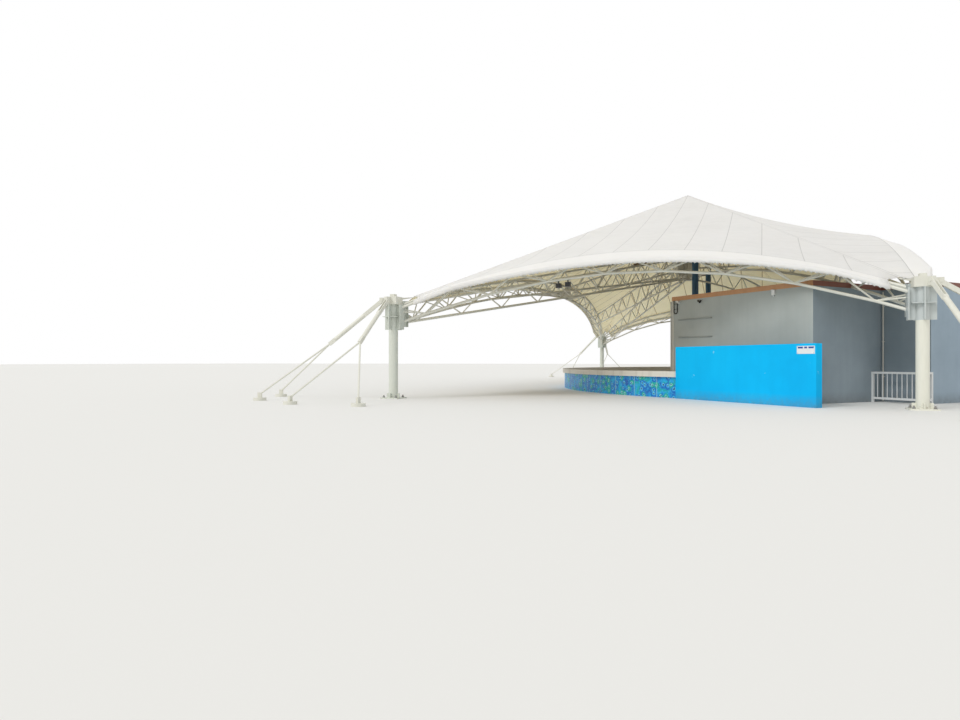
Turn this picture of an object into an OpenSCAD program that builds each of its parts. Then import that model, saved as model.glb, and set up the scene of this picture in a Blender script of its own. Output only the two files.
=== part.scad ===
// Bandstand with a stretched membrane canopy on four masts, as a 1:2 scale model.
// The audience side is -X, the stage house is at +X, and the plan is symmetric about Y = 0.

/* [Masts] */
// Distance of the front masts from the middle of the plan, towards the audience
front_mast_x = 5125; // [4600:5:5600]
// Distance of the front masts to either side
front_mast_y = 10175; // [9800:5:10800]
// Distance of the rear masts behind the middle of the plan
rear_mast_x = 4690; // [4400:5:5100]
// Distance of the rear masts to either side
rear_mast_y = 9725; // [9300:5:10100]
// Outer diameter of a mast pipe
mast_d = 200; // [160:1:220]
// Height of a mast pipe, up to the underside of its cap
mast_h = 2030; // [1980:1:2100]
// Width of the square base plate
base_w = 420; // [380:1:520]
// Thickness of the base plate
base_t = 25; // [15:1:40]
// Spacing of the four anchor bolts in the base plate
bolt_spacing = 300; // [290:1:330]
// Diameter of an anchor bolt hole
bolt_hole_d = 26; // [14:1:34]
// Reach of the fins from the mast axis
fin_reach = 200; // [180:1:240]
// Height of the fins below the mast top
fin_h = 540; // [500:1:640]
// Thickness of the fins
fin_t = 20; // [10:1:26]
// Thickness of the end plates and of the stiffener ring
plate_t = 15; // [8:1:20]
// Width of the end plate that takes an arch
arch_plate_w = 180; // [170:1:184]
// Distance from mast axis to the end plate of the diagonal truss
diagonal_reach = 360; // [330:1:480]
// Width of the cap on a mast
cap_w = 290; // [260:1:340]
// Height of the cap on a mast
cap_h = 170; // [140:1:200]
// Width of the small block on top of the cap
block_w = 110; // [80:1:140]
// Height of the small block on top of the cap
block_h = 60; // [30:1:90]

/* [Arches] */
// Drop from a mast's top to the bottom chords where they meet it
seat_drop = 440; // [400:1:470]
// Rise of the side arches
side_rise = 1140; // [1000:5:1250]
// Inward lean of the side arches at the crown
side_lean = 1650; // [1200:5:1700]
// Rise of the front arch
front_rise = 1405; // [1200:5:1500]
// Inward lean of the front arch at the crown
front_lean = 1050; // [900:5:1200]
// Rise of the rear arch
rear_rise = 2235; // [2000:5:2300]
// Height of the inner top chord above the bottom chord
truss_depth = 410; // [360:1:460]
// Distance of the outer top chord outside the bottom chord
truss_width = 330; // [260:1:380]
// Drop of the outer top chord from the mast to the crown
outer_drop = 190; // [120:1:230]
// Diameter of the chords
chord_d = 58; // [44:1:64]
// Diameter of the lacing bars
lacing_d = 34; // [22:1:40]
// Number of bays in a side arch
side_bays = 8; // [6:2:10]
// Number of bays in the front arch and in the rear arch
end_bays = 16; // [12:2:18]

/* [Interior trusses] */
// Height of the diagonal trusses' bottom chord at the centre
diagonal_crown_z = 3520; // [3400:5:3600]
// Depth of a front diagonal truss at its mast
front_end_depth = 390; // [340:1:410]
// Depth of a rear diagonal truss at its mast
rear_end_depth = 300; // [260:1:320]
// Depth of a diagonal truss at the centre
diagonal_crown_depth = 680; // [600:5:720]
// Number of bays in a diagonal truss
diagonal_bays = 9; // [7:1:11]
// Height of the spine's bottom chord at the centre
spine_z = 3850; // [3700:5:3900]
// Depth of the spine at the centre
spine_depth = 720; // [600:5:740]
// Number of bays in each half of the spine
spine_bays = 7; // [5:1:9]
// Height of a branch truss's bottom chord at the centre
branch_z = 3550; // [3500:5:3600]
// Depth of a branch truss at the centre
branch_depth = 820; // [740:5:840]
// Number of bays in a branch truss
branch_bays = 9; // [7:1:11]
// Outer diameter of the king post
king_d = 160; // [120:1:180]
// Distance from the king post's axis to its end plates
hub_reach = 175; // [160:1:230]
// Diameter of the two columns on the stage
column_d = 183; // [150:1:210]
// Distance of the columns behind the middle of the plan
column_x = 450; // [300:5:600]
// Distance of the columns to either side
column_y = 2500; // [2200:5:2800]
// Height of the columns' tops
column_top_z = 4000; // [3950:1:4040]
// Diameter of the ties that hold the columns
tie_d = 60; // [40:1:70]

/* [Canopy] */
// Height of the canopy's peak
apex_z = 6250; // [6000:5:6500]
// Thickness of the canopy
canopy_t = 16; // [10:1:20]
// Rise from a mast's top to the ridge line above its axis
ridge_rise = 20; // [0:1:60]
// Overhang of the canopy past the outer top chord
canopy_lip = 45; // [20:1:70]
// Distance from mast axis to the first seam end on an arch
corner_cut = 450; // [420:5:520]
// Distance from mast axis to the lower end of a ridge
ridge_cut = 560; // [540:5:640]
// Sag of the canopy as a share of the distance from arch to ridge
canopy_sag = 0.026; // [0.01:0.001:0.035]

/* [Stays] */
// Distance from a front mast to the anchors of its side stay
side_stay_reach = 2500; // [2200:5:2800]
// Distance from a front mast to the anchors of its front stay
front_stay_reach = 2650; // [2300:5:2900]
// Distance from a rear mast to the anchors of its side stay
quarter_stay_reach = 2125; // [1900:5:2400]
// Half the spread of a stay's two rods at the ground
rod_spread = 750; // [500:5:900]
// Diameter of the two lower rods of a stay
rod_d = 36; // [24:1:44]
// Diameter of a stay's tensioning tube
tube_d = 90; // [70:1:110]
// Diameter of an anchor pad
pad_d = 260; // [220:1:320]
// Height of an anchor pad
pad_h = 60; // [40:1:90]

/* [Stage] */
// Height of the stage floor
stage_z = 585; // [520:1:640]
// Thickness of the stage slab
stage_t = 125; // [90:1:150]
// Radius of the curved stage front
stage_r = 9100; // [9050:5:9300]
// Distance of the stage front ahead of the middle of the plan
stage_front_x = 3874; // [3700:2:4100]
// Overhang of the stage slab past the wall under it
stage_overhang = 60; // [30:1:90]
// Thickness of the curved wall under the stage
stage_wall_t = 100; // [70:1:120]
// Height of the low side walls
low_wall_h = 1115; // [1000:5:1200]
// Length of the low side walls
low_wall_l = 3390; // [3000:5:3600]
// Thickness of the low side walls
low_wall_t = 150; // [100:1:180]

/* [Stage house] */
// Height of the stage house walls
wall_h = 2225; // [2150:5:2300]
// Thickness of the stage house walls
wall_t = 110; // [80:1:160]
// Thickness of the roof slab
roof_t = 80; // [60:1:95]
// Height of the fascia and coping round the roof
fascia_h = 100; // [96:1:140]
// Thickness of the fascia and coping
fascia_t = 40; // [25:1:60]
// Half length of the wall behind the stage
back_wall_y = 2273; // [2000:1:2600]
// Distance of the wall behind the stage from the middle of the plan
back_wall_x = 3800; // [3600:5:3950]
// Height of the fence in the recess
fence_h = 600; // [500:5:700]
// Distance of the fence from the recess wall
fence_gap = 300; // [200:5:400]

/* [Hidden] */

// Running clearance between pieces that lie on each other
seat_gap = 0.5;
seat_z = mast_h - seat_drop;
ridge_z = mast_h + ridge_rise;
chord_r = chord_d / 2;
chord_sides = 8;
lacing_sides = 4;
rising_roll = 27;
falling_roll = 38;
UP = [0, 0, 1];

// Plan points of the near half, and the directions that leave them
front_mast = [-front_mast_x, -front_mast_y, 0];
rear_mast = [rear_mast_x, -rear_mast_y, 0];
front_mast_far = [-front_mast_x, front_mast_y, 0];
rear_mast_far = [rear_mast_x, rear_mast_y, 0];
centre = [0, 0, 0];

// Vector helpers: a unit vector, a quarter turn in plan, and the mirror image in Y = 0
function unit(v) = v / norm(v);
function turned(v) = [-v[1], v[0], 0];
function far(p) = [p[0], -p[1], p[2]];
function heading(v) = atan2(v[1], v[0]);
function mix(a, b, t) = a + (b - a) * t;

// An arch from mast a to mast b: 0 at the masts and 1 at the crown
function rise_share(s) = 4 * s * (1 - s);
function arch_bottom(a, b, rise, lean, s) =
  mix(a, b, s) + turned(unit(b - a)) * lean * rise_share(s)
  + UP * (seat_z + rise * rise_share(s));

// The chords pinch together on the end plates
inner_offset = 25;
end_depth = truss_depth - 40;
end_width = arch_plate_w / 2 - chord_r - 1;
end_outer_drop = 75;
function pinch(s, bays) = min(1, bays * min(s, 1 - s));
function arch_inner(a, b, rise, lean, s, bays) =
  arch_bottom(a, b, rise, lean, s)
  + turned(unit(b - a)) * inner_offset * pinch(s, bays)
  + UP * mix(end_depth, truss_depth, pinch(s, bays));
function arch_outer(a, b, rise, lean, s, bays) =
  arch_bottom(a, b, rise, lean, s)
  - turned(unit(b - a)) * mix(end_width, truss_width, pinch(s, bays))
  + UP * (mix(end_depth - end_outer_drop, truss_depth - 20, pinch(s, bays))
          - outer_drop * rise_share(s));

// A straight bar with few sides between two points, its section turned by roll
module bar(a, b, d, sides, roll = 0) {
  v = b - a;
  len = norm(v);
  translate(a) rotate([0, acos(v[2] / len), atan2(v[1], v[0])]) rotate([0, 0, roll])
    cylinder(d = d, h = len, $fn = sides);
}

module chord(a, b) {
  bar(a, b, chord_d, chord_sides);
}

module lace(a, b) {
  bar(a, b, lacing_d, lacing_sides, b[2] > a[2] ? rising_roll : falling_roll);
}

// Everything on one side of a plane that stands across direction dir, reach from point p
module half_space(p, dir, reach) {
  big = 4000;
  translate([p[0], p[1], -big / 2]) rotate([0, 0, heading(dir)])
    translate([reach - big, -big / 2, 0]) cube([big, big, 3 * big]);
}

// A triangular arch truss from node first to node last
module arch_truss(a, b, rise, lean, bays, first, last) {
  for (i = [first : last - 1]) {
    s0 = i / bays;
    sm = (i + 0.5) / bays;
    s1 = (i + 1) / bays;
    low = arch_bottom(a, b, rise, lean, sm);
    inner0 = arch_inner(a, b, rise, lean, s0, bays);
    inner1 = arch_inner(a, b, rise, lean, s1, bays);
    outer0 = arch_outer(a, b, rise, lean, s0, bays);
    outer1 = arch_outer(a, b, rise, lean, s1, bays);
    chord(inner0, inner1);
    chord(outer0, outer1);
    lace(inner0, low);
    lace(low, inner1);
    lace(outer0, low);
    lace(low, outer1);
    lace(outer1, inner1);
    if (i > first) chord(arch_bottom(a, b, rise, lean, sm - 1 / bays), low);
  }
  chord(arch_bottom(a, b, rise, lean, first / bays),
        arch_bottom(a, b, rise, lean, (first + 0.5) / bays));
  chord(arch_bottom(a, b, rise, lean, (last - 0.5) / bays),
        arch_bottom(a, b, rise, lean, last / bays));
}

arch_reach = fin_reach + plate_t;

module side_arch() {
  color("ivory") difference() {
    arch_truss(front_mast, rear_mast, side_rise, side_lean, side_bays, 0, side_bays);
    half_space(front_mast, rear_mast - front_mast, arch_reach);
    half_space(rear_mast, front_mast - rear_mast, arch_reach);
  }
}

// The near half of the front arch and of the rear arch end on the crown plate
crown_plate_t = 16;

module front_arch_half() {
  color("ivory") difference() {
    mirror([0, 1, 0]) union() {
      arch_truss(front_mast_far, front_mast, front_rise, front_lean, end_bays, 0, end_bays / 2);
      branch_truss();
    }
    half_space(front_mast, front_mast_far - front_mast, arch_reach);
    half_space(centre, -[0, 1, 0], crown_plate_t / 2);
    half_space(centre, branch_dir, branch_reach);
  }
}

// A branch: flat truss from the front arch to the hub, welded to the arch
branch_s = 3 / 16;
branch_reach = 520;
branch_low = arch_bottom(front_mast_far, front_mast, front_rise, front_lean, branch_s);
branch_high = arch_inner(front_mast_far, front_mast, front_rise, front_lean, branch_s, end_bays);
branch_dir = [branch_low[0], -branch_low[1], 0];

module branch_truss() {
  low_end = UP * branch_z;
  high_end = UP * (branch_z + branch_depth);
  for (i = [0 : branch_bays - 1]) {
    a = i / branch_bays;
    m = (i + 0.5) / branch_bays;
    b = (i + 1) / branch_bays;
    chord(mix(branch_low, low_end, a), mix(branch_low, low_end, b));
    chord(mix(branch_high, high_end, a), mix(branch_high, high_end, b));
    lace(mix(branch_high, high_end, a), mix(branch_low, low_end, m));
    lace(mix(branch_low, low_end, m), mix(branch_high, high_end, b));
  }
}

module rear_arch_half() {
  color("ivory") difference() {
    arch_truss(rear_mast, rear_mast_far, rear_rise, 0, end_bays, 0, end_bays / 2);
    half_space(rear_mast, rear_mast_far - rear_mast, arch_reach);
    half_space(centre, -[0, 1, 0], crown_plate_t / 2);
  }
}

// Flat trusses: the bottom and top chords of a diagonal, from its mast to the centre. The front ones
// are straight, the rear ones arch over the stage house.
function diagonal_low(m, t) = mix(m, centre, t) + UP * (m[0] < 0
  ? mix(seat_z + 20, diagonal_crown_z, t)
  : mix(seat_z + 50, diagonal_crown_z, 1 - pow(1 - t, 2)));
function diagonal_high(m, t) =
  diagonal_low(m, t) + UP * mix(m[0] < 0 ? front_end_depth : rear_end_depth, diagonal_crown_depth, t);

module diagonal_truss(m) {
  color("ivory") difference() {
    union() {
      for (i = [0 : diagonal_bays - 1]) {
        t0 = i / diagonal_bays;
        tm = (i + 0.5) / diagonal_bays;
        t1 = (i + 1) / diagonal_bays;
        chord(diagonal_high(m, t0), diagonal_high(m, t1));
        chord(diagonal_low(m, t0), diagonal_low(m, t1));
        lace(diagonal_high(m, t0), diagonal_low(m, tm));
        lace(diagonal_low(m, tm), diagonal_high(m, t1));
      }
    }
    half_space(m, -m, diagonal_reach);
    half_space(centre, m, hub_reach);
  }
}

// The crowns of the front and rear arches, where the spine begins
front_crown = arch_bottom(front_mast_far, front_mast, front_rise, front_lean, 0.5);
rear_crown = arch_bottom(rear_mast, rear_mast_far, rear_rise, 0, 0.5);
spine_low = UP * spine_z;
spine_high = UP * (spine_z + spine_depth);
crown_reach = 120;

// A spine half: flat truss and the crown plate between the two halves of its arch
module spine(crown, side) {
  tip = crown - side * (crown_reach * [1, 0, 0]);
  low = [tip[0], 0, crown[2]];
  high = [tip[0], 0, crown[2] + truss_depth];
  outer = [crown[0] + side * truss_width, crown[2] + truss_depth - 20 - outer_drop];
  margin = chord_r + 6;
  color("ivory") union() {
    difference() {
      for (i = [0 : spine_bays - 1]) {
        a = i / spine_bays;
        m = (i + 0.5) / spine_bays;
        b = (i + 1) / spine_bays;
        chord(mix(low, spine_low, a), mix(low, spine_low, b));
        chord(mix(high, spine_high, a), mix(high, spine_high, b));
        lace(mix(high, spine_high, a), mix(low, spine_low, m));
        lace(mix(low, spine_low, m), mix(high, spine_high, b));
      }
      half_space(centre, crown, hub_reach);
    }
    rotate([90, 0, 0]) linear_extrude(height = crown_plate_t, center = true) polygon([
      [tip[0] - side * 10, low[2] - margin],
      [crown[0] + side * margin, low[2] - margin],
      [outer[0] + side * margin, outer[1] - margin],
      [outer[0] + side * margin, outer[1] + chord_r],
      [crown[0] + side * margin, high[2] + chord_r],
      [tip[0] - side * 10, high[2] + chord_r]
    ]);
  }
}

// The king post stands on the hub where all the flat trusses meet
hub_plate_w = 150;
hub_bottom_z = diagonal_crown_z - 60;
hub_top_z = spine_z + spine_depth + 50;
tip_r = 12;
tip_slope = 0.8;
king_tip_z = apex_z - canopy_t / 2 - tip_slope * tip_r - seat_gap;
king_cone_z = king_tip_z - 1.95 * king_d / 2;

module hub_arm(dir) {
  rotate([0, 0, heading(dir)]) {
    translate([0, -fin_t / 2, hub_bottom_z]) cube([hub_reach - 1, fin_t, hub_top_z - hub_bottom_z]);
    translate([hub_reach - plate_t, -hub_plate_w / 2, hub_bottom_z])
      cube([plate_t, hub_plate_w, hub_top_z - hub_bottom_z]);
  }
}

// A thin plate between the chords of the diagonals carries a branch further out
module hub_yoke(dir) {
  yoke_t = 10;
  yoke_w = 60;
  rotate([0, 0, heading(dir)]) {
    translate([0, -yoke_t / 2, diagonal_crown_z + 80])
      cube([branch_reach - 1, yoke_t, diagonal_crown_depth - 160]);
    translate([branch_reach - plate_t, -yoke_w / 2, branch_z - 130])
      cube([plate_t, yoke_w, branch_depth + 110]);
  }
}

module king_post() {
  color("ivory") union() {
    hub_yoke(branch_dir);
    hub_yoke(far(branch_dir));
    translate([0, 0, hub_bottom_z]) cylinder(d = king_d, h = king_cone_z - hub_bottom_z, $fn = 48);
    translate([0, 0, king_cone_z])
      cylinder(d1 = king_d, d2 = 2 * tip_r, h = king_tip_z - king_cone_z, $fn = 48);
    for (dir = [front_mast, rear_mast, front_mast_far, rear_mast_far, [-1, 0, 0], [1, 0, 0]])
      hub_arm(dir);
  }
}

// A mast: base plate, pipe, fins in a cross and the plates that take the trusses
module mast(m) {
  fin_z = mast_h - fin_h;
  color("ivory") translate(m) difference() {
    union() {
      translate([-base_w / 2, -base_w / 2, 0]) cube([base_w, base_w, base_t]);
      cylinder(d = mast_d, h = mast_h, $fn = 64);
      for (turn = [0 : 90 : 270]) rotate([0, 0, turn]) {
        translate([0, -fin_t / 2, fin_z]) cube([fin_reach + 1, fin_t, fin_h]);
        translate([mast_d / 2 - 5, -fin_t / 2, base_t]) cube([60, fin_t, 90]);
      }
      for (turn = [0, m[1] < 0 ? 90 : -90]) rotate([0, 0, m[0] < 0 ? turn : 180 - turn])
        translate([fin_reach, -arch_plate_w / 2, fin_z]) cube([plate_t, arch_plate_w, fin_h]);
      translate([-fin_reach + 30, -fin_reach + 30, mast_h - fin_h / 2])
        cube([2 * fin_reach - 60, 2 * fin_reach - 60, plate_t]);
      rotate([0, 0, heading(-m)]) {
        translate([0, -8, seat_z - 30]) cube([diagonal_reach - 1, 16, mast_h - seat_z]);
        translate([diagonal_reach - 130, -8, mast_h - 60]) cube([129, 16, 160]);
        translate([diagonal_reach - plate_t, -50, seat_z - 30])
          cube([plate_t, 100, mast_h - seat_z + 130]);
      }
    }
    for (x = [-1, 1], y = [-1, 1]) translate([x, y, 0] * bolt_spacing / 2 - UP)
      cylinder(d = bolt_hole_d, h = base_t + 2, $fn = 32);
  }
}

// The two stays of each mast leave in these directions
side_stay = [0, -1, 0];
front_stay = unit([-0.918, -0.397, 0]);
quarter_stay = unit([0.39, -0.92, 0]);
rear_stay = [1, 0, 0];
lug_reach = 300;
lug_root = cap_w / 2 - 40;
lug_t = 40;
lug_z = mast_h + cap_h / 2;
pin_reach = 250;
pin_d = 40;

// The plate that a corner of the canopy is made fast to
corner_link_w = 60;
corner_link_t = 12;

module mast_head(m, stays) {
  slope = (apex_z - ridge_z) / norm(m);
  cap_top = mast_h + cap_h;
  link_z = ridge_z + ridge_cut * slope - canopy_t / 2 - 3;
  color("ivory") translate(m) {
    difference() {
      union() {
        translate([-cap_w / 2, -cap_w / 2, mast_h]) cube([cap_w, cap_w, cap_h]);
        translate([-block_w / 2, -block_w / 2, mast_h + cap_h]) cube([block_w, block_w, block_h]);
        for (dir = stays) rotate([0, 0, heading(dir)])
          translate([lug_root, -lug_t / 2, mast_h + 15])
            cube([lug_reach - lug_root, lug_t, cap_h - 30]);
        rotate([0, 0, heading(-m)]) translate([0, -corner_link_w / 2, 0]) rotate([90, 0, 0])
          mirror([0, 0, 1]) linear_extrude(height = corner_link_w) polygon([
            [cap_w / 4, cap_top - 60],
            [cap_w / 2 + 10, cap_top - 60],
            [ridge_cut - 60, link_z - corner_link_t - 60 * slope],
            [ridge_cut + 60, link_z - corner_link_t + 60 * slope],
            [ridge_cut + 60, link_z + 60 * slope],
            [ridge_cut - 60, link_z - 60 * slope],
            [cap_w / 4, cap_top - 20]
          ]);
      }
      for (dir = stays) rotate([0, 0, heading(dir)]) translate([pin_reach, 0, lug_z])
        rotate([90, 0, 0]) cylinder(d = pin_d, h = lug_t + 2, center = true, $fn = 32);
    }
  }
}

// A stay: pin and twin flats, connector, tensioning tube, then two rods to two anchor pads
flat_t = 15;
flat_w = 80;
rod_end_z = pad_h + 70;
tube_start = 0.16;
tube_end = 0.42;
split_at = 0.465;

module stay(m, dir, reach) {
  head = [pin_reach, 0, lug_z];
  foot = [reach, 0, rod_end_z];
  split = mix(head, foot, split_at);
  tilt = atan2(head[2] - foot[2], foot[0] - head[0]);
  len = norm(foot - head);
  color("ivory") translate(m) rotate([0, 0, heading(dir)]) union() {
    translate(head) rotate([90, 0, 0])
      cylinder(d = pin_d - 1, h = lug_t + 2 * flat_t + 20, center = true, $fn = 32);
    translate(head) rotate([0, tilt, 0]) {
      for (side = [-1, 1])
        translate([-45, side * (lug_t + flat_t + 1) / 2 - flat_t / 2, -flat_w / 2])
          cube([len * tube_start + 45, flat_t, flat_w]);
      translate([len * tube_start - 60, -lug_t / 2 - flat_t, -flat_w / 2])
        cube([60, lug_t + 2 * flat_t, flat_w]);
      translate([len * tube_start - 1, 0, 0]) rotate([0, 90, 0])
        cylinder(d = tube_d, h = len * (tube_end - tube_start), $fn = 32);
      translate([len * tube_end - 2, -30, -flat_w / 2])
        cube([len * (split_at - tube_end) + 30, 60, flat_w]);
    }
    for (side = [-1, 1]) {
      anchor = [reach, side * rod_spread, 0];
      bar(split, anchor + UP * rod_end_z, rod_d, 8);
      translate(anchor) cylinder(d = pad_d, h = pad_h, $fn = 48);
      translate(anchor + [-40, -25, pad_h - 1]) cube([80, 50, rod_end_z - pad_h + rod_d]);
    }
  }
}

// The rear stay reaches as far as the front one does, so the plan is centred
front_extent = front_mast_x - front_stay[0] * front_stay_reach - front_stay[1] * rod_spread;
rear_stay_reach = front_extent - rear_mast_x;

module stays_front() {
  stay(front_mast, side_stay, side_stay_reach);
  stay(front_mast, front_stay, front_stay_reach);
}

module stays_rear() {
  stay(rear_mast, quarter_stay, quarter_stay_reach);
  stay(rear_mast, rear_stay, rear_stay_reach);
}

// Two columns on the stage floor, and ties from them to the diagonal trusses
module column() {
  color("midnightblue") translate([column_x, -column_y, stage_z]) union() {
    cylinder(d = column_d, h = column_top_z - stage_z, $fn = 48);
    cylinder(d = column_d + 120, h = 20, $fn = 48);
  }
}

function diagonal_share(m) = 1 - column_y / norm([0, m[1]]);

module column_tie() {
  front_t = diagonal_share(front_mast);
  rear_t = diagonal_share(rear_mast);
  lift = UP * (chord_r + tie_d / 2 - 4);
  front_end = diagonal_high(front_mast, front_t) + lift;
  rear_end = diagonal_high(rear_mast, rear_t) + lift;
  color("saddlebrown") difference() {
    union() {
      bar(front_end - [60, 0, 0], rear_end + [60, 0, 0], tie_d, chord_sides);
    }
    translate([column_x, -column_y, 0]) cylinder(d = column_d, h = apex_z, $fn = 48);
    for (m = [front_mast, rear_mast], i = [0 : diagonal_bays - 1])
      bar(diagonal_high(m, i / diagonal_bays), diagonal_high(m, (i + 1) / diagonal_bays),
          chord_d, chord_sides);
  }
}

// Canopy: columns of points run from the arch edge over both top chords to the ridge
columns = [0, for (c = [2 : 16]) c];
rows = 8;
ridge_from = 2;
function arch_share(c, a, b) = c == 0 ? corner_cut / norm(b - a) : c / 32;
function ridge_share(c, m) = c == 0 ? ridge_cut / norm(m) : c / 16;
function ridge_point(c, m) = mix(m + UP * ridge_z, UP * apex_z, ridge_share(c, m));
function chord_lift(a, b, rise, s) =
  chord_r * sqrt(1 + pow(rise * 4 * (1 - 2 * s) / norm(b - a), 2)) + canopy_t / 2 + seat_gap;

function canopy_point(a, b, rise, lean, bays, c, r, low, m) =
  let (
    s = low ? arch_share(c, a, b) : 1 - arch_share(c, a, b),
    lift = UP * chord_lift(a, b, rise, s),
    outer = arch_outer(a, b, rise, lean, s, bays) + lift,
    inner = arch_inner(a, b, rise, lean, s, bays) + lift,
    lip = outer - turned(unit(b - a)) * canopy_lip - UP * 10,
    top = ridge_point(c, m),
    w = (r - ridge_from) / (rows - 1 - ridge_from),
    dip = UP * canopy_sag * norm(top - inner) * rise_share(w)
  )
  r == 0 ? lip : r == 1 ? outer : r == 2 ? inner : mix(inner, top, w) - dip;

// All columns of a panel from mast a to mast b, each with its rows of points
function canopy_grid(a, b, rise, lean, bays) = [
  for (i = [0 : len(columns) - 1])
    [for (r = [0 : rows - 1]) canopy_point(a, b, rise, lean, bays, columns[i], r, true, a)],
  for (i = [len(columns) - 2 : -1 : 0])
    [for (r = [0 : rows - 1]) canopy_point(a, b, rise, lean, bays, columns[i], r, false, b)]
];

// A closed sheet through a grid of points, thick measured straight up
module sheet(grid, thick) {
  n = len(grid);
  k = rows;
  top = [for (col = grid, p = col) p + UP * thick / 2];
  bottom = [for (col = grid, p = col) p - UP * thick / 2];
  half = n * k;
  polyhedron(
    points = concat(top, bottom),
    faces = [
      for (i = [0 : n - 2], j = [0 : k - 2]) each [
        [i * k + j, i * k + j + 1, (i + 1) * k + j],
        [i * k + j + 1, (i + 1) * k + j + 1, (i + 1) * k + j],
        [half + i * k + j, half + (i + 1) * k + j, half + i * k + j + 1],
        [half + i * k + j + 1, half + (i + 1) * k + j, half + (i + 1) * k + j + 1]
      ],
      for (i = [0 : n - 2]) each [
        [i * k, (i + 1) * k, half + i * k],
        [(i + 1) * k, half + (i + 1) * k, half + i * k],
        [i * k + k - 1, half + i * k + k - 1, (i + 1) * k + k - 1],
        [(i + 1) * k + k - 1, half + i * k + k - 1, half + (i + 1) * k + k - 1]
      ],
      for (j = [0 : k - 2]) each [
        [j, half + j, j + 1],
        [j + 1, half + j, half + j + 1],
        [(n - 1) * k + j, (n - 1) * k + j + 1, half + (n - 1) * k + j],
        [(n - 1) * k + j + 1, half + (n - 1) * k + j + 1, half + (n - 1) * k + j]
      ]
    ]
  );
}

module canopy_side() {
  color("whitesmoke")
    sheet(canopy_grid(front_mast, rear_mast, side_rise, side_lean, side_bays), canopy_t);
}

module canopy_front() {
  color("whitesmoke")
    sheet(canopy_grid(front_mast_far, front_mast, front_rise, front_lean, end_bays), canopy_t);
}

module canopy_rear() {
  color("whitesmoke")
    sheet(canopy_grid(rear_mast, rear_mast_far, rear_rise, 0, end_bays), canopy_t);
}

// Two flood lights hang from the near side arch
light_shares = [0.337, 0.357];
light_w = 110;

module flood_lights() {
  color("black") for (s = light_shares) {
    p = arch_bottom(front_mast, rear_mast, side_rise, side_lean, s);
    difference() {
      translate(p) union() {
        translate([-12, -12, -90]) cube([24, 24, 90]);
        translate([-light_w / 2, -50, -90 - 0.9 * light_w]) cube([light_w, 100, 0.9 * light_w]);
      }
      for (i = [0 : side_bays - 2]) chord(
        arch_bottom(front_mast, rear_mast, side_rise, side_lean, (i + 0.5) / side_bays),
        arch_bottom(front_mast, rear_mast, side_rise, side_lean, (i + 1.5) / side_bays)
      );
    }
  }
}

// Outline of the stage house, near half, as the outside faces of its walls
wall_dir = unit([-0.7627, 0.6468, 0]);
across = [wall_dir[1], -wall_dir[0], 0];
side_corner = [3120, -8850, 0];
side_wall_l = 3736;
end_wall_l = 2050;
recess_l = 945;
outer_wall_l = 2447;
wing_corner = side_corner + wall_dir * side_wall_l;
nook_corner = side_corner + across * end_wall_l;
outer_corner = nook_corner - wall_dir * recess_l;
rear_corner = outer_corner + across * outer_wall_l;
back_corner = [back_wall_x, -back_wall_y, 0];
near_half = [back_corner, wing_corner, side_corner, nook_corner, outer_corner, rear_corner];
outline = concat(near_half, [for (i = [len(near_half) - 1 : -1 : 0]) far(near_half[i])]);
corners = len(outline);

// A corner of the outline moved inwards by d on both of its walls
function inset(i, d) =
  let (
    p = outline[i % corners],
    u = unit(p - outline[(i + corners - 1) % corners]),
    v = unit(outline[(i + 1) % corners] - p),
    bisector = unit(turned(u) + turned(v))
  )
  p + bisector * d / (bisector * turned(u));
function plan(p) = [p[0], p[1]];

// A strip that follows wall i, with mitred ends
module strip(i, outer, inner, z, h) {
  translate([0, 0, z]) linear_extrude(height = h) polygon([
    plan(inset(i, outer)), plan(inset(i + 1, outer)),
    plan(inset(i + 1, inner)), plan(inset(i, inner))
  ]);
}

module wall(i, tint) {
  color(tint) strip(i, 0, wall_t, 0, wall_h);
}

module roof_slab() {
  color("dimgray") translate([0, 0, wall_h]) linear_extrude(height = roof_t)
    polygon([for (i = [0 : corners - 1]) plan(inset(i, fascia_t))]);
}

module fascia() {
  color("sienna") {
    strip(1, 0, fascia_t, wall_h, fascia_h);
    strip(corners - 3, 0, fascia_t, wall_h, fascia_h);
  }
}

module coping() {
  color("brown") {
    for (i = [2 : corners - 4]) strip(i, 0, fascia_t, wall_h, fascia_h);
    for (i = [corners - 2 : corners]) strip(i, 0, fascia_t, wall_h, fascia_h);
  }
}

// Stage: a slab with a curved front between the low walls and the stage house
stage_centre = [stage_r - stage_front_x, 0, 0];
passage_foot = 2678;
passage_corner = side_corner + wall_dir * passage_foot;

// Where a line from p in direction d leaves the circle of the stage front
function stage_hit(p, d, r) =
  let (q = p - stage_centre, b = q * d)
  p + d * (-b + sqrt(b * b - q * q + r * r));
stage_corner = stage_hit(passage_corner, -across, stage_r);
function half_angle(p) = atan2(-p[1], stage_centre[0] - p[0]);

// Points along the circle, from the near end at p to its mirror image
function stage_arc(r, p, steps) = [
  for (i = [0 : steps]) let (a = 180 + half_angle(p) * (1 - 2 * i / steps))
    [stage_centre[0] + r * cos(a), r * sin(a)]
];

module stage_floor() {
  color("silver") translate([0, 0, stage_z - stage_t]) linear_extrude(height = stage_t)
    polygon(concat(
      stage_arc(stage_r, stage_corner, 48),
      [plan(far(passage_corner)), plan(far(wing_corner)), plan(far(back_corner)),
       plan(back_corner), plan(wing_corner), plan(passage_corner)]
    ));
}

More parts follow.
